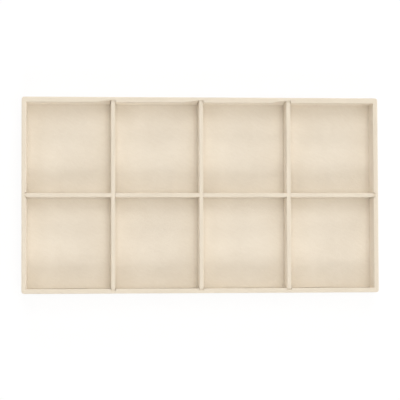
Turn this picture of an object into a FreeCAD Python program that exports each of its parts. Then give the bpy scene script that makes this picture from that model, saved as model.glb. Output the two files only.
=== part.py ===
import FreeCAD, Part
import os

# A velvet-covered jewelry tray with eight open compartments, in millimetres.
# Boards and cards carry the shape, and velvet is folded over each of them. A long divider and
# three cross dividers are lapped together and drop into the gaps between the lining cards,
# so that the dividers lift out of the tray.
# The origin is at the middle of the underside. +X runs along the length, +Y from the front
# to the back, and +Z up.

# Overall sizes, outside
tray_length = 356.0
tray_depth = 195.0
tray_height = 30.0

# Velvet and felt
velvet_thickness = 0.5
velvet_turn_under = 14.0
felt_thickness = 0.6
felt_inset = 4.0
felt_corner_radius = 3.0

# Boards and cards
base_board_thickness = 2.5
wall_board_thickness = 2.2
lining_card_thickness = 1.0
floor_card_thickness = 1.5
divider_board_thickness = 3.0

# Rounded edges of the boards, under the velvet
board_corner_radius = 2.0
wall_edge_radius = 0.5
divider_edge_radius = 0.8
edge_limit_share = 0.45

# How far the lining cards and the dividers stop below the rim
lining_drop = 0.3
divider_drop = 1.2

# Dividers: the cross dividers part the length evenly, the long one stands in the middle
cross_divider_names = ("left", "middle", "right")
lap_height_share = 0.5

# Clearances
lining_gap = 0.2
floor_gap = 0.4
slot_side_clearance = 0.3
slot_end_clearance = 0.6
lap_side_clearance = 0.15
lap_end_clearance = 0.3

# Working values for cuts and for picking edges
cut_overrun = 5.0
pick_tolerance = 0.001

# Heights of the layers, from the table up
felt_top = felt_thickness
base_bottom = felt_top + velvet_thickness
base_top = base_bottom + base_board_thickness
floor_top = base_top + floor_card_thickness + velvet_thickness
wall_board_top = tray_height - velvet_thickness
lining_top = tray_height - lining_drop
divider_top = tray_height - divider_drop
lap_level = floor_top + lap_height_share * (divider_top - floor_top)

# Half sizes of the nested outlines, from the outside in
half_length = tray_length / 2
half_depth = tray_depth / 2
board_half_length = half_length - velvet_thickness
board_half_depth = half_depth - velvet_thickness
frame_half_length = board_half_length - wall_board_thickness
frame_half_depth = board_half_depth - wall_board_thickness
inner_half_length = frame_half_length - velvet_thickness
inner_half_depth = frame_half_depth - velvet_thickness
lining_thickness = lining_card_thickness + velvet_thickness
room_half_length = inner_half_length - lining_thickness
room_half_depth = inner_half_depth - lining_thickness

# Dividers and the gaps that hold them
divider_thickness = divider_board_thickness + 2 * velvet_thickness
long_divider_length = 2 * (inner_half_length - slot_end_clearance)
cross_divider_length = 2 * (inner_half_depth - slot_end_clearance)
slot_half_width = divider_thickness / 2 + slot_side_clearance
lap_half_width = divider_thickness / 2 + lap_side_clearance
column_count = len(cross_divider_names) + 1
column_width = (2 * room_half_length - len(cross_divider_names) * divider_thickness) / column_count
column_pitch = column_width + divider_thickness
cross_divider_places = [
    -room_half_length + (number + 1) * column_pitch - divider_thickness / 2
    for number in range(len(cross_divider_names))
]

# Rounding that the velvet and the boards share
wall_round = min(wall_edge_radius, edge_limit_share * wall_board_thickness)
divider_round = min(divider_edge_radius, edge_limit_share * divider_board_thickness)

upward = FreeCAD.Vector(0, 0, 1)
middle = FreeCAD.Vector(0, 0, 0)
quarter_turn = 90


def block(low, high):
    """A box between its lowest and its highest corner."""
    size = [top - bottom for bottom, top in zip(low, high)]
    return Part.makeBox(*size, FreeCAD.Vector(*low))


def slab(reach_x, reach_y, bottom, top):
    """A box that is centred on the tray's upright axis."""
    return block((-reach_x, -reach_y, bottom), (reach_x, reach_y, top))


def edges_at(shape, direction, level):
    """The edges that lie wholly at one level along a direction."""
    def on_level(vertex):
        return abs(vertex.Point.dot(direction) - level) < pick_tolerance
    return [edge for edge in shape.Edges if all(on_level(vertex) for vertex in edge.Vertexes)]


def upright_edges(shape):
    """The straight edges that stand along Z."""
    def leans(edge):
        first, last = edge.Vertexes[0].Point, edge.Vertexes[-1].Point
        return abs(first.x - last.x) + abs(first.y - last.y) > pick_tolerance
    return [edge for edge in shape.Edges if not leans(edge)]


def cornered_slab(reach_x, reach_y, bottom, top, radius):
    """A centred box with rounded upright corners."""
    plain = slab(reach_x, reach_y, bottom, top)
    return plain.makeFillet(radius, upright_edges(plain))


def base_board():
    """The stiff bottom, as large as the four walls that stand on it."""
    return cornered_slab(board_half_length, board_half_depth, base_bottom, base_top, board_corner_radius)


def wall_frame():
    """The four wall boards as one frame, with the rim's edges rounded off."""
    outside = cornered_slab(
        board_half_length, board_half_depth, base_top, wall_board_top, board_corner_radius
    )
    inside = slab(frame_half_length, frame_half_depth, base_top, wall_board_top)
    frame = outside.cut(inside)
    return frame.makeFillet(wall_round, edges_at(frame, upward, wall_board_top))


def wall_boards():
    """The frame parted into its boards: long walls run through, short ones stand between them."""
    frame = wall_frame()
    past_x, past_y = half_length + cut_overrun, half_depth + cut_overrun
    back = block((-past_x, frame_half_depth, base_top), (past_x, past_y, tray_height))
    front = block((-past_x, -past_y, base_top), (past_x, -frame_half_depth, tray_height))
    right = block((0, -frame_half_depth, base_top), (past_x, frame_half_depth, tray_height))
    left = block((-past_x, -frame_half_depth, base_top), (0, frame_half_depth, tray_height))
    regions = {"back": back, "front": front, "right": right, "left": left}
    return {f"{side}_wall_board": frame.common(region) for side, region in regions.items()}


def outer_wrap():
    """The velvet round the walls: under the base, up the outside, over the rim and down inside."""
    outside = cornered_slab(
        half_length, half_depth, felt_top, tray_height, board_corner_radius + velvet_thickness
    )
    inside = slab(inner_half_length, inner_half_depth, base_top, tray_height)
    body = outside.cut(inside)
    body = body.makeFillet(wall_round + velvet_thickness, edges_at(body, upward, tray_height))
    body = body.makeFillet(velvet_thickness, edges_at(body, upward, felt_top))
    window_reach_x, window_reach_y = half_length - velvet_turn_under, half_depth - velvet_turn_under
    window = slab(window_reach_x, window_reach_y, felt_top, base_bottom)
    return body.cut([base_board(), wall_frame(), window])


def underside_felt():
    """The felt sheet that hides the folded velvet and that the tray stands on."""
    return cornered_slab(
        half_length - felt_inset, half_depth - felt_inset, 0, felt_top, felt_corner_radius
    )


def covered_card(low, high, back):
    """A card with velvet folded over its face and edges. Its bare back faces the way back points."""
    whole = block(low, high)
    direction = FreeCAD.Vector(*back)
    face_level = min(FreeCAD.Vector(*corner).dot(direction) for corner in (low, high))
    folded = whole.makeFillet(velvet_thickness, edges_at(whole, direction, face_level))
    card_low = [end + velvet_thickness * (step >= 0) for end, step in zip(low, back)]
    card_high = [end - velvet_thickness * (step <= 0) for end, step in zip(high, back)]
    card = block(card_low, card_high)
    return card, folded.cut(card)


def floor_pad():
    """The covered card that lines the bottom, all in one piece under the dividers."""
    reach_x, reach_y = room_half_length - floor_gap, room_half_depth - floor_gap
    low, high = (-reach_x, -reach_y, base_top), (reach_x, reach_y, floor_top)
    card, velvet = covered_card(low, high, (0, 0, -1))
    return {"floor_card": card, "floor_velvet": velvet}


def stretches(reach, places):
    """The stretches of a wall that gaps for dividers at these places leave."""
    starts = [-reach] + [place + slot_half_width for place in places]
    ends = [place - slot_half_width for place in places] + [reach]
    return list(zip(starts, ends))


def lining_box(side, start, end):
    """The lowest and the highest corner of one lining on a wall, and the way its back faces."""
    boxes = {
        "back": ((start, room_half_depth), (end, inner_half_depth), (0, 1, 0)),
        "front": ((start, -inner_half_depth), (end, -room_half_depth), (0, -1, 0)),
        "right": ((room_half_length, start), (inner_half_length, end), (1, 0, 0)),
        "left": ((-inner_half_length, start), (-room_half_length, end), (-1, 0, 0)),
    }
    low, high, back = boxes[side]
    return (*low, base_top), (*high, lining_top), back


def linings():
    """Covered cards on the insides of the walls. The gaps between them hold the dividers' ends."""
    columns = list(enumerate(stretches(inner_half_length - lining_gap, cross_divider_places), 1))
    rows = list(zip(("front", "back"), stretches(room_half_depth - lining_gap, [0])))
    pieces = {}
    for side, sections in (("back", columns), ("front", columns), ("left", rows), ("right", rows)):
        for label, (start, end) in sections:
            card, velvet = covered_card(*lining_box(side, start, end))
            pieces[f"{side}_lining_card_{label}"] = card
            pieces[f"{side}_lining_velvet_{label}"] = velvet
    return pieces


def rounded_strip(length, thickness, top, radius):
    """An upright strip along X on the floor, rounded along its top and at its ends."""
    plain = slab(length / 2, thickness / 2, floor_top, top)
    return plain.makeFillet(radius, edges_at(plain, upward, top) + upright_edges(plain))


def divider(length, cuts):
    """A divider along X: a board and the velvet sleeve folded over it, both slit by the cuts."""
    board_length = length - 2 * velvet_thickness
    board_top = divider_top - velvet_thickness
    board = rounded_strip(board_length, divider_board_thickness, board_top, divider_round)
    covered = rounded_strip(length, divider_thickness, divider_top, divider_round + velvet_thickness)
    sleeve = covered.cut(board)
    return board.cut(cuts), sleeve.cut(cuts)


def lap_cut(place, bottom, top):
    """The slit in a divider for the one that crosses it at that place."""
    return block(
        (place - lap_half_width, -divider_thickness, bottom),
        (place + lap_half_width, divider_thickness, top),
    )


def long_divider():
    """The divider along the tray. Its slits are open at the top."""
    slit_bottom = lap_level - lap_end_clearance / 2
    cuts = [lap_cut(place, slit_bottom, tray_height) for place in cross_divider_places]
    board, sleeve = divider(long_divider_length, cuts)
    return {"long_divider_board": board, "long_divider_sleeve": sleeve}


def cross_dividers():
    """The dividers from front to back. Each straddles the long one with a slit open at the bottom."""
    slit = lap_cut(0, 0, lap_level + lap_end_clearance / 2)
    board, sleeve = divider(cross_divider_length, [slit])
    pieces = {}
    for name, place in zip(cross_divider_names, cross_divider_places):
        shift = FreeCAD.Vector(place, 0, 0)
        for kind, shape in (("board", board), ("sleeve", sleeve)):
            turned = shape.rotated(middle, upward, quarter_turn)
            pieces[f"{name}_cross_divider_{kind}"] = turned.translated(shift)
    return pieces


def all_pieces():
    """Every piece of the tray by its name."""
    pieces = {
        "underside_felt": underside_felt(),
        "base_board": base_board(),
        "outer_wrap": outer_wrap(),
    }
    for group in (wall_boards(), floor_pad(), linings(), long_divider(), cross_dividers()):
        pieces.update(group)
    return pieces


def main():
    os.makedirs("parts", exist_ok=True)
    for name, shape in all_pieces().items():
        shape.exportStep(f"parts/{name}.step")
        print(f"{name}: {len(shape.Solids)} solid, {shape.Volume:.1f} mm3, valid {shape.isValid()}")


main()
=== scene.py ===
# %% [markdown]
# A velvet jewelry tray
#
# The tray is made of boards and cards, and each of them is covered in beige velvet. The frame brings
# every board and card at its real size and place. What the eye sees is nearly all cloth, so this
# lesson models the cloth that is glued over each board, and then gives velvet, felt, board and card
# their finishes.

# %% Load the frame
import math

import bmesh
import bpy
from mathutils import Matrix, Vector


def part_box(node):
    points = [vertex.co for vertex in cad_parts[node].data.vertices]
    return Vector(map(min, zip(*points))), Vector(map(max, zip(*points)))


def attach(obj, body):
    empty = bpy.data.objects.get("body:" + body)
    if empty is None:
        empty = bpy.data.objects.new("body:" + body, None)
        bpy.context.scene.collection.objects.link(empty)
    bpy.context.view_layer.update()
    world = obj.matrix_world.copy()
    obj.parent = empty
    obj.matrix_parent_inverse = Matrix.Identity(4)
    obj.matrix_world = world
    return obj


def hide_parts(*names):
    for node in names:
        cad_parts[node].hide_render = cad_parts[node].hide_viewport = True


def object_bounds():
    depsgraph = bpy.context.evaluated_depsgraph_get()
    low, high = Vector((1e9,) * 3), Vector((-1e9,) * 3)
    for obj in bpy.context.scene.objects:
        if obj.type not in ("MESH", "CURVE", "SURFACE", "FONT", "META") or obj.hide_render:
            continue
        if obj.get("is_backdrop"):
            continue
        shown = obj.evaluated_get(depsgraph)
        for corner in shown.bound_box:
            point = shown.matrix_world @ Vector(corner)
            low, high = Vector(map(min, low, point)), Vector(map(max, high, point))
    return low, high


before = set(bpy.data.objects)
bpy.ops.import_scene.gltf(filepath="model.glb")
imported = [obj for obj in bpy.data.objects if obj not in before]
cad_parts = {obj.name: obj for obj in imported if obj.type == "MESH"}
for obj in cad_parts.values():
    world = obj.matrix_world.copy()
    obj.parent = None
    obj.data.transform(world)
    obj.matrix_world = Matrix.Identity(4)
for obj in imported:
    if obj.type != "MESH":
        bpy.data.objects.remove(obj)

cad_low, cad_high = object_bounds()
print("CAD box in metres:", tuple(cad_low), tuple(cad_high))

# %% [markdown]
# Sizes
#
# The velvet's thickness and the width of the walls aren't typed again here. They are the distances
# between the boxes of neighbouring nodes, so the cloth still fits if the boards change.

# %% Measure the frame
mm_per_metre = 1000
along_x = Vector((1, 0, 0))
along_y = Vector((0, 1, 0))
upward = Vector((0, 0, 1))
wrap_low, wrap_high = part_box("outer_wrap")
_, base_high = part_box("base_board")
left_wall_low, left_wall_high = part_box("left_wall_board")
velvet_thickness = wrap_high.x - base_high.x
wall_width = left_wall_high.x - left_wall_low.x + 2 * velvet_thickness


def in_mm(length):
    """A length in metres as words in millimetres."""
    return f"{length * mm_per_metre:.2f} mm"


print("velvet", in_mm(velvet_thickness), "and a wall with its velvet", in_mm(wall_width))

# %% [markdown]
# A block to start from
#
# Each piece starts as a cube, is added at its size and place, and is shaped in edit mode. A mesh could
# also be written out point by point, but that is hard to read and to change. The cube's place is
# applied to its mesh, so that its origin stays at the frame's origin. The swell of the cloth and the
# finishes go by the place on the object, and so all pieces share one space.

# %% Start a block
unit_cube = 1


def start_block(name, low, high):
    """Adds a cube at its size and place. Its origin stays at the frame's origin."""
    bpy.ops.object.select_all(action="DESELECT")
    bpy.ops.mesh.primitive_cube_add(size=unit_cube, location=(low + high) / 2)
    block = bpy.context.object
    block.name = name
    block.data.name = name
    block.scale = high - low
    bpy.ops.object.transform_apply(location=True, rotation=True, scale=True)
    return block


def report(block):
    """Prints a piece's size and how many faces it has."""
    size = " x ".join(in_mm(length) for length in block.dimensions)
    print(f"{block.name}: {size}, {len(block.data.polygons)} faces")


# %% [markdown]
# Picking and cutting
#
# A hand would click on faces. A script picks them by a rule, such as the way a face points. The block
# is cut by planes close to where the cloth turns, and a Subdivision Surface then rounds it: the closer
# the cut, the tighter the turn. A Bevel would round the edges too, but it leaves the faces between
# them without points, and these are needed for the swell of the cloth.

# %% Pick faces and points
aligned_share = 0.99


def pick(block, mode, rule):
    """In edit mode, selects the faces or points that the rule is true of, and no others."""
    bpy.ops.mesh.select_mode(type=mode)
    bpy.ops.mesh.select_all(action="DESELECT")
    mesh = bmesh.from_edit_mesh(block.data)
    for part in mesh.faces if mode == "FACE" else mesh.verts:
        part.select_set(bool(rule(part)))
    mesh.select_flush_mode()
    bmesh.update_edit_mesh(block.data)


def faces_towards(direction):
    """A rule for picking: the faces that point in a direction."""
    return lambda face: face.normal.dot(direction) > aligned_share


def everywhere(part):
    """A rule for picking: all faces or points."""
    return True


# %% Cut and finish a block
def cut(block, direction, places, rule=everywhere):
    """In edit mode, cuts the picked faces across a direction at each of these places."""
    for place in places:
        pick(block, "FACE", rule)
        bpy.ops.mesh.bisect(plane_co=direction * place, plane_no=direction)


def even_places(start, end, spacing):
    """Places between start and end, about one spacing apart."""
    count = max(1, round((end - start) / spacing))
    return [start + (end - start) * step / count for step in range(1, count)]


def use_modifier(block, kind, **values):
    """Adds a modifier with these values and applies it."""
    bpy.ops.object.select_all(action="DESELECT")
    block.select_set(True)
    bpy.context.view_layer.objects.active = block
    modifier = block.modifiers.new(kind.title(), kind)
    for key, value in values.items():
        setattr(modifier, key, value)
    bpy.ops.object.modifier_apply(modifier=modifier.name)


# %% [markdown]
# From a cage to cloth
#
# Velvet glued over card is never quite flat: it swells and sinks by a tenth of a millimetre or two.
# A bump in the material could suggest that, but it would not show at an edge, so a Displace modifier
# moves the surface by a soft cloud texture. Solidify then gives the cloth its thickness, inwards, so
# that its outside stays where it is. How sharply the cloth turns is kept in an attribute, because the
# pile opens and looks paler where the cloth goes round an edge.

# %% Round the cage
smooth_levels = 2
full_fold_angle = math.radians(8)


def mark_folds(block):
    """Stores how sharply the cloth turns at each point, from 0 where it lies flat to 1 at an edge."""
    shape = bmesh.new()
    shape.from_mesh(block.data)
    turns = [max(face.normal.angle(point.normal, 0) for face in point.link_faces) for point in shape.verts]
    shape.free()
    folds = block.data.attributes.new("fold", "FLOAT", "POINT")
    folds.data.foreach_set("value", [min(1.0, turn / full_fold_angle) for turn in turns])


def round_off(block):
    """Rounds the cage and marks its folds."""
    use_modifier(block, "SUBSURF", levels=smooth_levels, render_levels=smooth_levels)
    mark_folds(block)


# %% Swell and thicken the cloth
cloth_gauge = 0.00022
inwards = -1
swell_depth = 0.0002
swell_scale = 0.035
swell_detail = 2
swell_middle_share = 0.75

swell = bpy.data.textures.new("cloth_swell", "CLOUDS")
swell.noise_scale = swell_scale
swell.noise_depth = swell_detail


def become_cloth(block, depth=swell_depth, middle_share=swell_middle_share):
    """Lets the cloth swell a little and gives it its thickness."""
    use_modifier(block, "DISPLACE", texture=swell, texture_coords="LOCAL",
                 strength=depth, mid_level=middle_share)
    use_modifier(block, "SOLIDIFY", thickness=cloth_gauge, offset=inwards)
    bpy.ops.object.shade_smooth()


print("cloth", in_mm(cloth_gauge), "thick, swelling by", in_mm(swell_depth))

# %% [markdown]
# Seams
#
# Where the cloth is cut and its edges are butted together, a fine groove stays in the pile. A Boolean
# with a thin wedge could cut it, but leaves ragged faces. By hand: cut the finished cloth along the
# seam and once on each side of it, then press the middle line in with Shrink/Fatten. A rule says how
# far the seam runs.

# %% Press a seam
seam_half_width = 0.00035
seam_depth = 0.00028
on_seam = 0.0001


def press_seam(cloth, normal, place, runs_here):
    """Presses a seam into the cloth, along a plane, where runs_here is true of a place and a normal."""
    bpy.ops.object.mode_set(mode="EDIT")
    shoulders = [place - seam_half_width, place, place + seam_half_width]
    cut(cloth, normal, shoulders, lambda face: runs_here(face.calc_center_median(), face.normal))
    pick(cloth, "VERT", lambda point: abs(point.co.dot(normal) - place) < on_seam
         and runs_here(point.co, point.normal))
    bpy.ops.transform.shrink_fatten(value=-seam_depth)
    bpy.ops.object.mode_set(mode="OBJECT")


print("seams", in_mm(seam_depth), "deep")

# %% [markdown]
# The outer wrap
#
# One strip of velvet is turned in under the base, goes up the outside, over the rim and down inside.
# It could be swept along the walls as a profile, but then the corners would have to be closed by hand.
# Here the top of a block is inset by the wall's width and the middle is pushed down, and the walls are
# there with a mitre line at each corner of the rim, just where the real cloth is cut to fold over.
# The top is inset in three steps, because the rim turns softly outside and tightly inside, where the
# linings lean against it. The underside is inset twice in the same way: a narrow ring keeps the lower
# fold tight, and the wide one becomes the border that is turned under.

# %% Rules and sizes for the wrap
corner_support = 0.0044
rim_support = 0.00175
rim_inner_support = 0.00035
foot_support = 0.0009
turn_under = 0.014
wave_spacing = 0.012
wave_height = 0.008
main_share = 0.5


def is_upright(face):
    """A rule for picking: faces that point more sideways than up or down."""
    return abs(face.normal.z) < main_share


def is_outside(face):
    """A rule for picking: upright faces that point away from the tray's middle."""
    return is_upright(face) and face.normal.dot(face.calc_center_median()) > 0


def is_inside(face):
    """A rule for picking: upright faces that point to the tray's middle."""
    return is_upright(face) and face.normal.dot(face.calc_center_median()) < 0


# %% Model the outer wrap
def inset(*widths):
    """In edit mode, insets the picked faces step by step."""
    for width in widths:
        bpy.ops.mesh.inset(thickness=width)


def model_outer_wrap():
    """The strip of velvet over the rim, before its seams are pressed."""
    wrap = start_block("outer_wrap_cloth", wrap_low, wrap_high)
    bpy.ops.object.mode_set(mode="EDIT")
    pick(wrap, "FACE", faces_towards(upward))
    inset(rim_support, wall_width - rim_support - rim_inner_support, rim_inner_support)
    well = base_high.z - wrap_high.z
    bpy.ops.mesh.extrude_region_move(TRANSFORM_OT_translate={"value": upward * well})
    bpy.ops.mesh.delete(type="FACE")
    pick(wrap, "FACE", faces_towards(-upward))
    inset(foot_support, turn_under - foot_support)
    bpy.ops.mesh.delete(type="FACE")
    inner_x, inner_y = wrap_high.x - corner_support, wrap_high.y - corner_support
    cut(wrap, along_x, [-inner_x, inner_x] + even_places(-inner_x, inner_x, wave_spacing))
    cut(wrap, along_y, [-inner_y, inner_y] + even_places(-inner_y, inner_y, wave_spacing))
    foot_end, rim_start = wrap_low.z + foot_support, wrap_high.z - rim_support
    cut(wrap, upward, [foot_end, rim_start] + even_places(foot_end, rim_start, wave_height), is_outside)
    tight = wrap_high.z - rim_inner_support
    cut(wrap, upward, [tight] + even_places(base_high.z, tight, wave_height), is_inside)
    bpy.ops.object.mode_set(mode="OBJECT")
    round_off(wrap)
    return wrap


outer_wrap = model_outer_wrap()
report(outer_wrap)

# %% [markdown]
# Seams of the wrap
#
# At each corner the strip is slit and folded to a mitre, on the rim and again under the base. Its two
# ends meet at the back left corner, so there the seam also runs down the outside.

# %% Press the wrap's seams
corner_reach = 0.009
level_share = 0.35


def seam_corner(side_x, side_y, down_outside):
    """Presses the mitre at one corner. Sides are 1 or -1."""
    corner = Vector((side_x * wrap_high.x, side_y * wrap_high.y, 0))
    normal = Vector((1, -side_x * side_y, 0)).normalized()

    def runs_here(place, facing):
        near = max(abs(place.x - corner.x), abs(place.y - corner.y)) < corner_reach
        outside = facing.dot(corner) > 0
        return near and (abs(facing.z) > level_share or (down_outside and outside))
    press_seam(outer_wrap, normal, corner.dot(normal), runs_here)


for side_x in (-1, 1):
    for side_y in (-1, 1):
        seam_corner(side_x, side_y, down_outside=(side_x < 0 < side_y))
become_cloth(outer_wrap)
report(outer_wrap)

# %% [markdown]
# Covered cards
#
# The linings of the walls and the pad on the floor are the same thing: a card with velvet over its
# face, folded round its edges and glued down behind. A flat sheet would do for the face, but the
# folded edges show at the top of each lining. So one function makes them all from a block: it removes
# the face at the back, where the card is bare, and cuts the block close to each edge.

# %% Model the velvet over a card
def model_covered_card(name, low, high, back, low_support, high_support, spacing):
    """The velvet over one card, in edit mode. It's open towards back, where the card is glued on."""
    cloth = start_block(name, low, high)
    bpy.ops.object.mode_set(mode="EDIT")
    pick(cloth, "FACE", faces_towards(back))
    bpy.ops.mesh.delete(type="FACE")
    first, last = low + low_support, high - high_support
    for direction in (along_x, along_y, upward):
        start, end = first.dot(direction), last.dot(direction)
        if abs(back.dot(direction)) < main_share:
            cut(cloth, direction, [start, end] + even_places(start, end, spacing))
        else:
            cut(cloth, direction, [end if back.dot(direction) < 0 else start])
    return cloth


# %% [markdown]
# The linings of the walls
#
# Each compartment has its own lining on each wall that it touches, and the dividers' ends drop into
# the gaps between them. The pile closes the joints: the cloth reaches a little into the rim's cloth and
# into the tray's corners, and stands a little higher than its card. At the back wall the linings also
# stand off the wall a little. Only the two middle linings of a long wall are alike. The others differ
# in width, in their wall or in the corner that they fill, so each is modelled at its own place, and
# none is copied.

# %% Places of the linings
lining_fill = 0.0004
lining_rise = 0.0002
back_stand_off = 0.0006
corner_fill = 0.0006
lining_backs = {"back": along_y, "front": -along_y, "right": along_x, "left": -along_x}
lining_nodes = sorted(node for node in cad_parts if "_lining_velvet_" in node)


def back_of(node):
    """The way that a lining's bare back faces."""
    return lining_backs[node.split("_")[0]]


def lining_box(node):
    """The corners of a lining's cloth: its node's box, and the pile that closes the joints round it."""
    low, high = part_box(node)
    into_rim = back_of(node) * lining_fill
    low += Vector([min(step, 0) for step in into_rim])
    high += Vector([max(step, 0) for step in into_rim]) + upward * lining_rise
    if node.startswith("back"):
        low -= along_y * back_stand_off
    if node.endswith("_1"):
        low -= along_x * corner_fill
    elif node.endswith("_4"):
        high += along_x * corner_fill
    elif node.endswith("_front"):
        low -= along_y * corner_fill
    return low, high


print(len(lining_nodes), "linings on", len(lining_backs), "walls")

# %% [markdown]
# Squeezed linings
#
# At the back wall each divider has been pushed in from the left, and has crushed the end of the lining
# there, so that it is thinner towards the gap. A lattice could bend it, but scaling with proportional
# editing is quicker: the upper corner is squeezed against the wall, and the points near it follow less
# and less.

# %% Squeeze a corner
crush_reach = 0.015
crush_grip = Vector((0.0030, 0, 0.008))
crushed_columns = ("1", "2", "3")


def is_crushed(node):
    """True for the linings on the back wall that lie to the left of a divider."""
    side, *_, label = node.split("_")
    return side == "back" and label in crushed_columns


def crush_corner(block, high, share):
    """Squeezes the upper right corner of a lining, or of its card, to a share of its thickness."""
    bpy.ops.object.mode_set(mode="EDIT")
    start = high - crush_grip
    pick(block, "VERT", lambda point: point.co.x > start.x and point.co.z > start.z)
    bpy.ops.transform.resize(value=(1, share, 1), center_override=high, use_proportional_edit=True,
                             proportional_edit_falloff="SMOOTH", proportional_size=crush_reach)
    bpy.ops.object.mode_set(mode="OBJECT")


# %% Model the linings
lining_edge = 0.0006
lining_face_edge = 0.0003
lining_spacing = 0.008
crushed_share = 0.2


def model_lining(node):
    """The velvet over one lining, squeezed where a divider was pushed in."""
    low, high = lining_box(node)
    back = back_of(node)
    support = Vector([lining_face_edge if step else lining_edge for step in back])
    lining = model_covered_card(f"{node}_cloth", low, high, back, support, support, lining_spacing)
    bpy.ops.object.mode_set(mode="OBJECT")
    round_off(lining)
    if is_crushed(node):
        _, wall_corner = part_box(node)
        crush_corner(lining, wall_corner, crushed_share)
    become_cloth(lining)
    return lining


linings = {node: model_lining(node) for node in lining_nodes}
report(linings[lining_nodes[0]])

# %% [markdown]
# Squeezed cards
#
# Where a lining is squeezed, the card behind its velvet gives way too. The straight card would come
# through the cloth there, so three cards are modelled again: a block with enough cuts to bend, squeezed
# at the same corner, with its edges broken by a small Bevel.

# %% Model the crushed cards
crushed_card_share = 0.15
card_spacing = 0.003
card_bevel = 0.0001
card_bevel_segments = 2


def model_crushed_card(node):
    """A lining's card, squeezed at the same corner as its velvet."""
    low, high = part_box(node)
    card = start_block(f"{node}_crushed", low, high)
    bpy.ops.object.mode_set(mode="EDIT")
    for direction in (along_x, upward):
        cut(card, direction, even_places(low.dot(direction), high.dot(direction), card_spacing))
    bpy.ops.object.mode_set(mode="OBJECT")
    crush_corner(card, high, crushed_card_share)
    use_modifier(card, "BEVEL", width=card_bevel, segments=card_bevel_segments)
    return card


crushed_nodes = [node.replace("velvet", "card") for node in lining_nodes if is_crushed(node)]
crushed_cards = {node: model_crushed_card(node) for node in crushed_nodes}
report(crushed_cards[crushed_nodes[0]])

# %% [markdown]
# The pad on the floor
#
# One large covered card lines the whole bottom, and the dividers stand on it. Its pile meets the
# linings at the back and at the sides, and at the front a fine gap stays open. Its edges turn tightly
# at the left and at the back, and more softly at the right and in front. The dividers' feet press a
# track into the pile, which shows when they are lifted out. A Boolean would cut the track with a hard
# edge. Here it is cut into the cage, and the strip in its middle is moved down, so that the rounding
# makes it soft.

# %% Press a track
track_inset = 0.0006
track_depth = 0.0003
track_slope = 0.0008
cross_names = [f"{name}_cross_divider" for name in ("left", "middle", "right")]
divider_names = ["long_divider"] + cross_names


def press_track(pad, divider):
    """Presses the track of one divider into the pad."""
    low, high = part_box(f"{divider}_sleeve")
    across = along_y if divider == "long_divider" else along_x
    start, end = low.dot(across) + track_inset, high.dot(across) - track_inset
    cut(pad, across, [start, start + track_slope, end - track_slope, end], faces_towards(upward))
    pick(pad, "VERT", lambda point: point.normal.z > main_share
         and start + track_slope / 2 < point.co.dot(across) < end - track_slope / 2)
    bpy.ops.transform.translate(value=-upward * track_depth)


print(len(divider_names), "dividers press tracks", in_mm(track_depth), "deep")

# %% Model the floor pad
pad_tight = 0.0003
pad_soft = 0.0010
pad_top = 0.0003
pad_spacing = 0.010
pad_fill = 0.0007
pad_front_fill = 0.0003
pad_swell = 0.00025
pad_middle_share = 0.55

pad_low, pad_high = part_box("floor_velvet")
pad_low -= Vector((pad_fill, pad_front_fill, 0))
pad_high += Vector((pad_fill, pad_fill, 0))
left_front_support = Vector((pad_tight, pad_soft, 0))
right_back_support = Vector((pad_soft, pad_tight, pad_top))
floor_pad = model_covered_card("floor_velvet_cloth", pad_low, pad_high, -upward,
                               left_front_support, right_back_support, pad_spacing)
for divider in divider_names:
    press_track(floor_pad, divider)
bpy.ops.object.mode_set(mode="OBJECT")
round_off(floor_pad)
become_cloth(floor_pad, pad_swell, pad_middle_share)
report(floor_pad)

# %% [markdown]
# Divider sleeves
#
# A divider is a board with velvet folded over its top and round its ends, open below. Where two
# dividers cross, each is slit half way: the long one from above, the cross dividers from below. A
# slit is cut with scissors through the finished cloth, so here it is cut after the rounding: two
# upright cuts and a level one mark it, and the faces inside it are deleted. At each end the velvet
# is folded in from both sides, and the two edges meet in an upright seam.

# %% Model a sleeve
sleeve_support = 0.0009
sleeve_spacing = 0.012
sleeve_reach = 0.0009
sleeve_sink = 0.0002


def model_sleeve(node, along, across):
    """The velvet over a divider that runs along a direction. Its pile fills the gaps at ends and foot."""
    low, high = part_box(node)
    low -= along * sleeve_reach + upward * sleeve_sink
    high += along * sleeve_reach
    sleeve = start_block(f"{node}_cloth", low, high)
    bpy.ops.object.mode_set(mode="EDIT")
    pick(sleeve, "FACE", faces_towards(-upward))
    bpy.ops.mesh.delete(type="FACE")
    start, end = low.dot(along) + sleeve_support, high.dot(along) - sleeve_support
    cut(sleeve, along, [start, end] + even_places(start, end, sleeve_spacing))
    cut(sleeve, across, [low.dot(across) + sleeve_support, high.dot(across) - sleeve_support])
    top = high.z - sleeve_support
    cut(sleeve, upward, [top] + even_places(low.z, top, sleeve_spacing))
    bpy.ops.object.mode_set(mode="OBJECT")
    round_off(sleeve)
    press_seam(sleeve, across, (low + high).dot(across) / 2,
               lambda place, facing: abs(facing.dot(along)) > level_share)
    return sleeve


# %% Cut slits
lap_height_share = 0.5
lap_squeeze = 0.0002
lap_end_clearance = 0.0003
long_low, long_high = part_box("long_divider_sleeve")
lap_half_width = (long_high.y - long_low.y) / 2 - lap_squeeze
lap_level = long_low.z + lap_height_share * (long_high.z - long_low.z)


def cut_slits(sleeve, along, places, level, open_above):
    """Cuts a slit at each place along a sleeve, from the level up or down."""
    bpy.ops.object.mode_set(mode="EDIT")
    cut(sleeve, upward, [level])
    for place in places:
        cut(sleeve, along, [place - lap_half_width, place + lap_half_width])

    def in_slit(face):
        centre = face.calc_center_median()
        beside = min(abs(centre.dot(along) - place) for place in places)
        return beside < lap_half_width and (centre.z > level) == open_above
    pick(sleeve, "FACE", in_slit)
    bpy.ops.mesh.delete(type="FACE")
    bpy.ops.object.mode_set(mode="OBJECT")


print("slits", in_mm(2 * lap_half_width), "wide, to the level", in_mm(lap_level))

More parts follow.
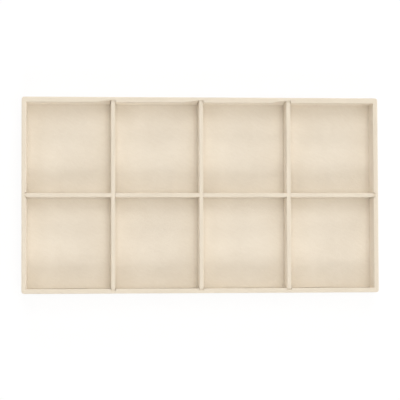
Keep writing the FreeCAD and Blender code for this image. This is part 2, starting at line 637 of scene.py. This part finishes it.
# %% Model the long divider
def middle_of(divider):
    """The middle of a divider's sleeve."""
    low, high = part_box(f"{divider}_sleeve")
    return (low + high) / 2


long_sleeve = model_sleeve("long_divider_sleeve", along_x, along_y)
crossings = [middle_of(name).x for name in cross_names]
cut_slits(long_sleeve, along_x, crossings, lap_level - lap_end_clearance / 2, open_above=True)
become_cloth(long_sleeve)
sleeves = {"long_divider": long_sleeve}
report(long_sleeve)

# %% [markdown]
# Cross dividers
#
# The three cross dividers are cut alike, so one sleeve is modelled with its slit, and copied to the
# other two places. Each copy has a mesh of its own, because the swell goes by place: the sleeves
# become cloth only after the copying, and none of them looks quite like another.

# %% Model one cross divider and copy it
def copy_along(piece, name, shift):
    """A copy of a piece with a mesh of its own, moved along. Its origin stays at the frame's origin."""
    bpy.ops.object.select_all(action="DESELECT")
    piece.select_set(True)
    bpy.context.view_layer.objects.active = piece
    bpy.ops.object.duplicate()
    copied = bpy.context.object
    copied.name = name
    copied.data.name = name
    copied.location = shift
    bpy.ops.object.transform_apply(location=True, rotation=True, scale=True)
    return copied


first_name = cross_names[0]
first_sleeve = model_sleeve(f"{first_name}_sleeve", along_y, along_x)
slit_places = [middle_of("long_divider").y]
cut_slits(first_sleeve, along_y, slit_places, lap_level + lap_end_clearance / 2, open_above=False)
sleeves[first_name] = first_sleeve
for name in cross_names[1:]:
    shift = middle_of(name) - middle_of(first_name)
    sleeves[name] = copy_along(first_sleeve, f"{name}_sleeve_cloth", shift)
for name in cross_names:
    become_cloth(sleeves[name])
    report(sleeves[name])

# %% [markdown]
# The felt under the tray
#
# A sheet of pressed felt hides the turned-in velvet and keeps the tray from scratching. It is a thin
# closed slab with round corners. A flat plane would do from below, but its edge shows from the side.
# Its upper and lower edges are inset a little, so that they stay tight and it lies flat on the table.

# %% Model the felt
felt_support = 0.00025
felt_corner_support = 0.0053
felt_spacing = 0.012


def model_felt():
    """The felt sheet, as thick as its node."""
    low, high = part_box("underside_felt")
    felt = start_block("underside_felt_sheet", low, high)
    bpy.ops.object.mode_set(mode="EDIT")
    for direction in (upward, -upward):
        pick(felt, "FACE", faces_towards(direction))
        inset(felt_support)
    for direction in (along_x, along_y):
        start, end = low.dot(direction) + felt_corner_support, high.dot(direction) - felt_corner_support
        cut(felt, direction, [start, end] + even_places(start, end, felt_spacing))
    bpy.ops.object.mode_set(mode="OBJECT")
    round_off(felt)
    bpy.ops.object.shade_smooth()
    return felt


felt_sheet = model_felt()
report(felt_sheet)

# %% [markdown]
# Riding on the bodies
#
# The linings, the floor, the wrap and the felt stay with the tray. Each sleeve moves with its
# divider. For every one of them the size it was cut to is printed: the face that it covers and the
# edges that it is folded round.

# %% Ride, replace and print the cut
def stand_for(piece, node, body, flat):
    """Shows a piece in place of a node, on a body, and prints the flat size that it was cut to."""
    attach(piece, body)
    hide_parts(node)
    print(f"{piece.name}: cut to {in_mm(flat[0])} x {in_mm(flat[1])}")


def flat_over_card(low, high, back):
    """The cut of a card's velvet, from the cloth's corners: the face and the edges round it."""
    size = high - low
    edge = abs(size.dot(back))
    ways = [way for way in (along_x, along_y, upward) if abs(back.dot(way)) < main_share]
    return [size.dot(way) + 2 * edge for way in ways]


# %% The wrap, the pad and the linings
wrap_size = wrap_high - wrap_low
strip_length = 2 * (wrap_size.x + wrap_size.y)
strip_width = turn_under + wrap_size.z + wall_width + wrap_high.z - base_high.z
wrap_flat = (strip_length, strip_width)
stand_for(outer_wrap, "outer_wrap", "tray", wrap_flat)
pad_flat = flat_over_card(pad_low, pad_high, -upward)
stand_for(floor_pad, "floor_velvet", "tray", pad_flat)
for node, lining in linings.items():
    lining_flat = flat_over_card(*lining_box(node), back_of(node))
    stand_for(lining, node, "tray", lining_flat)

# %% The dividers, the crushed cards and the felt
for divider, sleeve in sleeves.items():
    low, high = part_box(f"{divider}_sleeve")
    length, thickness = max((high - low).xy), min((high - low).xy)
    sleeve_flat = (length + thickness, 2 * (high.z - low.z) + thickness)
    stand_for(sleeve, f"{divider}_sleeve", divider, sleeve_flat)
for node, card in crushed_cards.items():
    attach(card, "tray")
    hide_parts(node)
    print(f"{card.name}: in place of {node}")
felt_low, felt_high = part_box("underside_felt")
felt_flat = (felt_high - felt_low).xy
stand_for(felt_sheet, "underside_felt", "tray", felt_flat)

# %% [markdown]
# Two effects that the finishes share
#
# All four finishes are made of fibres: pile, felted hair, pressed wood and pressed paper. So they
# share two node groups. One gives soft patches and fine grain, the other gives streaks, which are
# noise that is stretched in one direction and bent a little. Each finish sets its own scales.

# %% Put nodes and start groups
def put(tree, kind, inputs=None, **settings):
    """Adds a node. An input that is given a socket is linked, and any other value is written there."""
    node = tree.nodes.new(kind)
    for name, value in settings.items():
        setattr(node, name, value)
    for name, value in (inputs or {}).items():
        if isinstance(value, bpy.types.NodeSocket):
            tree.links.new(value, node.inputs[name])
        else:
            node.inputs[name].default_value = value
    return node


def start_group(name, inputs, outputs):
    """A shader node group with these sockets. Gives the group, what goes in and what comes out."""
    group = bpy.data.node_groups.new(name, "ShaderNodeTree")
    for label, kind in inputs.items():
        group.interface.new_socket(label, in_out="INPUT", socket_type=f"NodeSocket{kind}")
    for label in outputs:
        group.interface.new_socket(label, in_out="OUTPUT", socket_type="NodeSocketFloat")
    return group, put(group, "NodeGroupInput").outputs, put(group, "NodeGroupOutput").inputs


# %% Mottle
noise_low, noise_high = 0.32, 0.68
patch_detail, grain_detail = 2, 3


def spread_noise(group, vector, scale, detail):
    """A noise whose usual values are spread out to the range from 0 to 1."""
    noise = put(group, "ShaderNodeTexNoise", {"Vector": vector, "Scale": scale, "Detail": detail})
    wide = put(group, "ShaderNodeMapRange",
               {"Value": noise.outputs["Fac"], "From Min": noise_low, "From Max": noise_high})
    return wide.outputs["Result"]


def make_mottle():
    """Soft patches and fine grain."""
    inputs = {"Vector": "Vector", "Patch scale": "Float", "Grain scale": "Float"}
    group, given, wanted = start_group("mottle", inputs, ["Patches", "Grain"])
    patches = spread_noise(group, given["Vector"], given["Patch scale"], patch_detail)
    grain = spread_noise(group, given["Vector"], given["Grain scale"], grain_detail)
    group.links.new(patches, wanted["Patches"])
    group.links.new(grain, wanted["Grain"])
    return group


mottle_group = make_mottle()
print("group:", mottle_group.name, len(mottle_group.nodes), "nodes")

# %% Streaks
noise_centre = (0.5, 0.5, 0.5)
streak_scale = 1.0
streak_detail = 2


def vector_math(group, operation, inputs):
    """Puts a Vector Math node. Gives its vector."""
    return put(group, "ShaderNodeVectorMath", inputs, operation=operation).outputs[0]


def make_streaks():
    """Streaks along the direction with the smallest stretch. The bend is in metres."""
    inputs = {"Vector": "Vector", "Stretch": "Vector", "Bend": "Float", "Bend scale": "Float"}
    group, given, wanted = start_group("streaks", inputs, ["Streaks"])
    waver = put(group, "ShaderNodeTexNoise", {"Vector": given["Vector"], "Scale": given["Bend scale"]})
    centred = vector_math(group, "SUBTRACT", {0: waver.outputs["Color"], 1: noise_centre})
    bend = vector_math(group, "SCALE", {0: centred, "Scale": given["Bend"]})
    bent = vector_math(group, "ADD", {0: given["Vector"], 1: bend})
    stretched = vector_math(group, "MULTIPLY", {0: bent, 1: given["Stretch"]})
    group.links.new(spread_noise(group, stretched, streak_scale, streak_detail), wanted["Streaks"])
    return group


streak_group = make_streaks()
print("group:", streak_group.name, len(streak_group.nodes), "nodes")

# %% [markdown]
# How a finish is put together
#
# Every finish starts from the Principled BSDF and the place on the object. It mixes a tone out of the
# two groups, sets a colour between a shade and a light by that tone, lets the roughness follow it, and
# raises a fine bump. What is the same all over is set on the shader's own sockets.

# %% Start a finish and place the groups
def start_finish(name):
    """A new material. Gives it with its tree, its shader and the place on the object."""
    material = bpy.data.materials.new(name)
    material.use_nodes = True
    tree = material.node_tree
    spot = put(tree, "ShaderNodeTexCoord").outputs["Object"]
    return material, tree, tree.nodes["Principled BSDF"], spot


def put_mottle(tree, spot, patch_scale, grain_scale):
    """Places the mottle group. Gives its patches and its grain."""
    inputs = {"Vector": spot, "Patch scale": patch_scale, "Grain scale": grain_scale}
    return put(tree, "ShaderNodeGroup", inputs, node_tree=mottle_group).outputs


def turn_spot(tree, spot, turn):
    """The place on the object, turned, so that streaks lie another way."""
    return put(tree, "ShaderNodeMapping", {"Vector": spot, "Rotation": turn}).outputs[0]


def put_streaks(tree, spot, stretch, bend, bend_scale):
    """Places the streak group. Gives its streaks."""
    inputs = {"Vector": spot, "Stretch": stretch, "Bend": bend, "Bend scale": bend_scale}
    return put(tree, "ShaderNodeGroup", inputs, node_tree=streak_group).outputs["Streaks"]


# %% Mix tones and colours
# The Mix node has a set of sockets for each kind of value. These are the places of its colours.
mix_from, mix_to, mix_result = 6, 7, 2


def do_math(tree, operation, inputs):
    """Puts a Math node. Gives its value."""
    return put(tree, "ShaderNodeMath", inputs, operation=operation).outputs[0]


def weigh(tree, *parts):
    """Adds up values, each times its weight."""
    total = 0.0
    for value, weight in parts:
        total = do_math(tree, "MULTIPLY_ADD", {0: value, 1: weight, 2: total})
    return total


def between(tree, low, high, value):
    """A colour between two, by a value from 0 to 1."""
    inputs = {"Factor": value, mix_from: low, mix_to: high}
    return put(tree, "ShaderNodeMix", inputs, data_type="RGBA").outputs[mix_result]


# %% Feed the shader
def dress(tree, surface, colour, tone, height, rough_range, bump_depth):
    """Feeds a shader: its colour, a roughness that follows the tone, and a bump."""
    rough_low, rough_high = rough_range
    rough = put(tree, "ShaderNodeMapRange", {"Value": tone, "To Min": rough_low, "To Max": rough_high})
    bump = put(tree, "ShaderNodeBump", {"Height": height, "Distance": bump_depth})
    tree.links.new(colour, surface.inputs["Base Color"])
    tree.links.new(rough.outputs["Result"], surface.inputs["Roughness"])
    tree.links.new(bump.outputs["Normal"], surface.inputs["Normal"])


def set_all_over(surface, values):
    """Sets what is the same all over on the shader's own sockets."""
    for socket, value in values.items():
        surface.inputs[socket].default_value = value


# %% [markdown]
# The velvet
#
# Velvet is a short dense pile. It looks paler or darker by the way its hairs lean: in patches a few
# fingers wide, in brush strokes, and in single tufts. Those make the tone, between a shade and a light
# that lie close together, because a clean tray is nearly even. Round an edge the pile opens and looks
# paler. The rim and the tops of the dividers get a painted shade: they catch more light than the
# floors, so their colour is made a little darker, with a ragged lower limit. The hairs could be grown
# as particles, but millions of them are slow and can't be exported. They catch light at a low angle,
# which is what Sheen in the Principled BSDF is for.

# %% Velvet colours and scales
velvet_shade = (0.777, 0.713, 0.611, 1)
velvet_light = (0.861, 0.805, 0.707, 1)
velvet_open = (0.891, 0.832, 0.738, 1)
# The colour of the painted shade on the rim and the divider tops, which catch more light than the floors.
velvet_top_painted_shade = (0.698, 0.631, 0.517, 1)
velvet_scales = {"patch_scale": 24, "grain_scale": 800}
nap_turn = (0.30, 0.25, 0.55)
strokes_look = {"stretch": (70, 420, 420), "bend": 0.006, "bend_scale": 60}
tufts_look = {"stretch": (900, 3000, 3000), "bend": 0.001, "bend_scale": 600}
velvet_relief = {"rough_range": (0.85, 1.0), "bump_depth": 0.00015}
velvet_all_over = {
    "Specular IOR Level": 0.12,
    "Diffuse Roughness": 0.5,
    "Sheen Weight": 0.5,
    "Sheen Roughness": 0.45,
    "Sheen Tint": (1.0, 0.88, 0.74, 1),
}
print("velvet from", velvet_shade, "to", velvet_light)

# %% Where the velvet gets a painted shade on its tops
top_painted_shade_share = 0.55
top_painted_shade_ragged = 0.0015
top_painted_shade_depth, top_painted_shade_full_depth = 0.0040, 0.0015
top_painted_shade_start = cad_high.z - top_painted_shade_depth
top_painted_shade_full = cad_high.z - top_painted_shade_full_depth + top_painted_shade_ragged


def put_top_painted_shade(tree, spot, strokes):
    """How much painted shade the tops get, by their height, with a limit that follows the brush strokes."""
    height = put(tree, "ShaderNodeSeparateXYZ", {"Vector": spot}).outputs["Z"]
    ragged = weigh(tree, (height, 1.0), (strokes, top_painted_shade_ragged))
    limits = {"Value": ragged, "From Min": top_painted_shade_start, "From Max": top_painted_shade_full, "To Max": top_painted_shade_share}
    return put(tree, "ShaderNodeMapRange", limits, interpolation_type="SMOOTHSTEP").outputs["Result"]


# Prints the height from which the tops get the painted shade.
print("rubbed from", in_mm(top_painted_shade_start), "up")

# %% Make the velvet
patch_share, stroke_share, grain_share, tuft_share = 0.4, 0.25, 0.15, 0.2
pile_share = 0.5
open_share = 0.1


def make_velvet():
    """The pile: a mottled and brushed tone, a painted shade on the tops, open folds and a sheen."""
    material, tree, surface, spot = start_finish("beige_velvet")
    leaning = turn_spot(tree, spot, nap_turn)
    mottle = put_mottle(tree, spot, **velvet_scales)
    patches, grain = mottle["Patches"], mottle["Grain"]
    strokes = put_streaks(tree, leaning, **strokes_look)
    tufts = put_streaks(tree, leaning, **tufts_look)
    tone = weigh(tree, (patches, patch_share), (strokes, stroke_share),
                 (grain, grain_share), (tufts, tuft_share))
    pile = weigh(tree, (grain, pile_share), (tufts, pile_share))
    fold = put(tree, "ShaderNodeAttribute", attribute_name="fold").outputs["Fac"]
    opened = do_math(tree, "MULTIPLY", {0: fold, 1: open_share})
    colour = between(tree, velvet_shade, velvet_light, tone)
    # Painted shade: the rim and the divider tops are darkened towards their shade colour.
    colour = between(tree, colour, velvet_top_painted_shade, put_top_painted_shade(tree, spot, strokes))
    colour = between(tree, colour, velvet_open, opened)
    dress(tree, surface, colour, tone, pile, **velvet_relief)
    set_all_over(surface, velvet_all_over)
    return material


velvet = make_velvet()
print(velvet.name, len(velvet.node_tree.nodes), "nodes")

# %% [markdown]
# Felt, fibreboard and grey card
#
# Felt is hair that is matted in all directions, so its streaks run two ways. Fibreboard is brown
# pressed wood with short pale and dark fibres. Grey card is pressed waste paper, with flecks. The
# boards and cards show only where a divider is lifted out and its slits and lower edge come to light.
# All three are matted fibres, so one function makes them from their own values.

# %% Matted finishes
matted_share = 0.25
matted_turns = ((0.2, 0.3, 0.4), (0.4, 0.2, 1.9))
matted_bend = {"bend": 0.002, "bend_scale": 250}


def make_matted(name, colours, scales, stretch, relief, all_over):
    """A finish of short fibres that lie in two directions."""
    material, tree, surface, spot = start_finish(name)
    mottle = put_mottle(tree, spot, **scales)
    fibres = [mottle["Patches"], mottle["Grain"]]
    for turn in matted_turns:
        fibres.append(put_streaks(tree, turn_spot(tree, spot, turn), stretch, **matted_bend))
    tone = weigh(tree, *[(value, matted_share) for value in fibres])
    colour = between(tree, *colours, tone)
    dress(tree, surface, colour, tone, tone, **relief)
    set_all_over(surface, all_over)
    print(material.name, len(tree.nodes), "nodes")
    return material


# %% Make felt, board and card
felt = make_matted(
    "tan_felt",
    colours=((0.56, 0.47, 0.35, 1), (0.68, 0.585, 0.46, 1)),
    scales={"patch_scale": 30, "grain_scale": 600},
    stretch=(250, 2200, 2200),
    relief={"rough_range": (0.85, 1.0), "bump_depth": 0.0002},
    all_over={"Specular IOR Level": 0.2, "Sheen Weight": 0.15},
)
fibreboard = make_matted(
    "raw_fibreboard",
    colours=((0.36, 0.25, 0.15, 1), (0.54, 0.41, 0.28, 1)),
    scales={"patch_scale": 60, "grain_scale": 1500},
    stretch=(300, 2500, 2500),
    relief={"rough_range": (0.7, 0.9), "bump_depth": 0.0001},
    all_over={"Specular IOR Level": 0.2},
)
grey_card = make_matted(
    "grey_card",
    colours=((0.30, 0.27, 0.22, 1), (0.43, 0.40, 0.345, 1)),
    scales={"patch_scale": 40, "grain_scale": 1200},
    stretch=(400, 2000, 2000),
    relief={"rough_range": (0.8, 0.95), "bump_depth": 0.00008},
    all_over={"Specular IOR Level": 0.2},
)

# %% [markdown]
# Which piece has which finish
#
# The modelled cloth is velvet, apart from the felt sheet. Apart from the three squeezed cards, boards
# and cards keep the shape that they have in the frame, and only get a finish. They could be listed one
# by one, but a rule that goes by their names is shorter, and finds a board that is added later.

# %% Put the finishes on
def put_on(piece, material):
    """Gives a piece one finish and no other."""
    piece.data.materials.clear()
    piece.data.materials.append(material)


for piece in (outer_wrap, floor_pad, *linings.values(), *sleeves.values()):
    put_on(piece, velvet)
put_on(felt_sheet, felt)
for card in crushed_cards.values():
    put_on(card, grey_card)
for node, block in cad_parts.items():
    if node.endswith("_board"):
        put_on(block, fibreboard)
    elif "_card" in node:
        put_on(block, grey_card)
print("finishes:", velvet.name, felt.name, fibreboard.name, grey_card.name)

# %% [markdown]
# Floor
#
# The tray lies on a plain white floor. What the camera sees of the floor is mostly white by itself,
# so that the background is white without more light on the tray. The rest is lit, and keeps the
# tray's shadow. Glossy and transmission rays see the same white. From below the floor is clear, and
# right under the felt it lets light through, so that the underside can be looked at. It lies a hair
# under the felt, so that the two surfaces don't share one place.

# %% Floor finish
floor_white = (0.95, 0.95, 0.95, 1)
own_white_share = 0.86
contact_reach = 0.005


def seen_directly(tree):
    """1 for rays that show a surface to the camera, straight or in a reflection, and 0 for light."""
    path = put(tree, "ShaderNodeLightPath").outputs
    shown = path["Is Camera Ray"]
    for way in ("Is Glossy Ray", "Is Transmission Ray"):
        shown = do_math(tree, "MAXIMUM", {0: shown, 1: path[way]})
    return shown


def mix_shaders(tree, share, first, second):
    """Puts a Mix Shader node. Gives its shader."""
    return put(tree, "ShaderNodeMixShader", {"Fac": share, 1: first, 2: second}).outputs[0]


def make_floor_finish():
    """White by itself to the camera, lit for the rest, and clear from below and under the felt."""
    material = bpy.data.materials.new("white_floor")
    material.use_nodes = True
    tree = material.node_tree
    tree.nodes.clear()
    lit = put(tree, "ShaderNodeBsdfDiffuse", {"Color": floor_white}).outputs[0]
    glow = put(tree, "ShaderNodeEmission").outputs[0]
    clear = put(tree, "ShaderNodeBsdfTransparent").outputs[0]
    own_white = do_math(tree, "MULTIPLY", {0: seen_directly(tree), 1: own_white_share})
    below = put(tree, "ShaderNodeNewGeometry").outputs["Backfacing"]
    ray_length = put(tree, "ShaderNodeLightPath").outputs["Ray Length"]
    under_felt = do_math(tree, "LESS_THAN", {0: ray_length, 1: contact_reach})
    passing = do_math(tree, "MAXIMUM", {0: below, 1: under_felt})
    white = mix_shaders(tree, own_white, lit, glow)
    put(tree, "ShaderNodeOutputMaterial", {"Surface": mix_shaders(tree, passing, white, clear)})
    return material


# %% Lay the floor
floor_reach = 6.0
floor_drop = 0.0001

bpy.ops.object.select_all(action="DESELECT")
bpy.ops.mesh.primitive_plane_add(size=floor_reach, location=(0, 0, cad_low.z - floor_drop))
floor = bpy.context.object
floor.name = "floor"
bpy.ops.object.transform_apply(location=True, rotation=True, scale=True)
put_on(floor, make_floor_finish())
floor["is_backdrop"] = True
print("floor", tuple(floor.dimensions))

# %% [markdown]
# Light
#
# The photograph is lit softly and from several sides: the floors are nearly even, with soft shades in
# front of the back wall and of the long divider, and to the left of the cross dividers. One large lamp
# overhead would be simpler, but gives none of these shades. So eight square lamps stand round the
# tray: three at the right, one in front, two at the back, and two at the left, which together give the
# least. Nearly a quarter of the light comes from all round, slightly warm, from the world.

# %% Lamps
lamp_distance = 3.6
# Azimuth from +X to +Y and elevation, both in degrees, power in watts and size in metres.
lamps = {
    "top_right_light": (0, 80, 17.0, 1.5),
    "front_right_light": (315, 45, 13.7, 2.1),
    "right_low_light": (0, 18, 35.2, 0.8),
    "front_light": (270, 39, 37.9, 1.3),
    "left_light": (180, 51, 16.2, 1.5),
    "left_low_light": (180, 15, 7.0, 1.2),
    "back_light": (90, 60, 30.3, 1.5),
    "back_low_light": (90, 20, 53.5, 2.1),
}


def add_softbox(name, azimuth, elevation, power, size):
    """A square lamp that looks at the tray from an azimuth and an elevation."""
    lamp = bpy.data.lights.new(name, "AREA")
    lamp.shape = "SQUARE"
    lamp.size = size
    lamp.energy = power
    holder = bpy.data.objects.new(name, lamp)
    bpy.context.scene.collection.objects.link(holder)
    turn, rise = math.radians(azimuth), math.radians(elevation)
    towards = Vector((math.cos(turn) * math.cos(rise), math.sin(turn) * math.cos(rise), math.sin(rise)))
    holder.location = towards * lamp_distance
    holder.rotation_euler = towards.to_track_quat("Z", "Y").to_euler()


for name, values in lamps.items():
    add_softbox(name, *values)
print(len(lamps), "lamps")

# %% Surroundings
ambient_strength = 0.30
ambient_colour = (1.0, 0.91, 0.82, 1)
pure_white = (1, 1, 1, 1)

world = bpy.data.worlds.new("studio")
bpy.context.scene.world = world
world.use_nodes = True
sky = world.node_tree
sky.nodes.clear()
ambient = put(sky, "ShaderNodeBackground", {"Color": ambient_colour, "Strength": ambient_strength}).outputs[0]
backdrop = put(sky, "ShaderNodeBackground", {"Color": pure_white}).outputs[0]
put(sky, "ShaderNodeOutputWorld", {"Surface": mix_shaders(sky, seen_directly(sky), ambient, backdrop)})
print("surroundings at", ambient_strength)

# %% [markdown]
# Camera
#
# The camera hangs high over the tray, a little to the left and to the front, so that the faces of the
# right and back walls just show. It looks almost straight down, where a tracking constraint would
# choose its own roll, so its axes are written out: view, right and up.

# %% Lens
frame_pixels = 400
focal_pixels = 1586.5
sensor_width = 36.0
far_clip = 20

camera = bpy.data.cameras.new("camera")
camera.sensor_width = sensor_width
camera.lens = focal_pixels / frame_pixels * sensor_width
camera.clip_end = far_clip
print(f"lens {camera.lens:.1f} mm")

# %% Place and aim
camera_place = Vector((-0.130, -0.070, 1.600))
camera_aim = Vector((-0.00147, -0.00500, 0.030))
camera_roll = math.radians(0.20)

camera_holder = bpy.data.objects.new("camera", camera)
bpy.context.scene.collection.objects.link(camera_holder)
view_axis = (camera_aim - camera_place).normalized()
right_axis = view_axis.cross(Vector((math.sin(camera_roll), math.cos(camera_roll), 0))).normalized()
up_axis = right_axis.cross(view_axis)
turn = Matrix((right_axis, up_axis, -view_axis)).transposed()
camera_holder.matrix_world = Matrix.Translation(camera_place) @ turn.to_4x4()
bpy.context.scene.camera = camera_holder
bpy.context.scene.view_settings.view_transform = "Standard"
print("camera at", tuple(camera_place))

# %% [markdown]
# The last look at the size
#
# Cloth may swell, but the tray may not grow. So the box of the finished model is written down beside
# the box that the frame came with, and the two can be compared.

# %% Write down the finished box
low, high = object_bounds()
print("visual box in metres:", tuple(low), tuple(high))
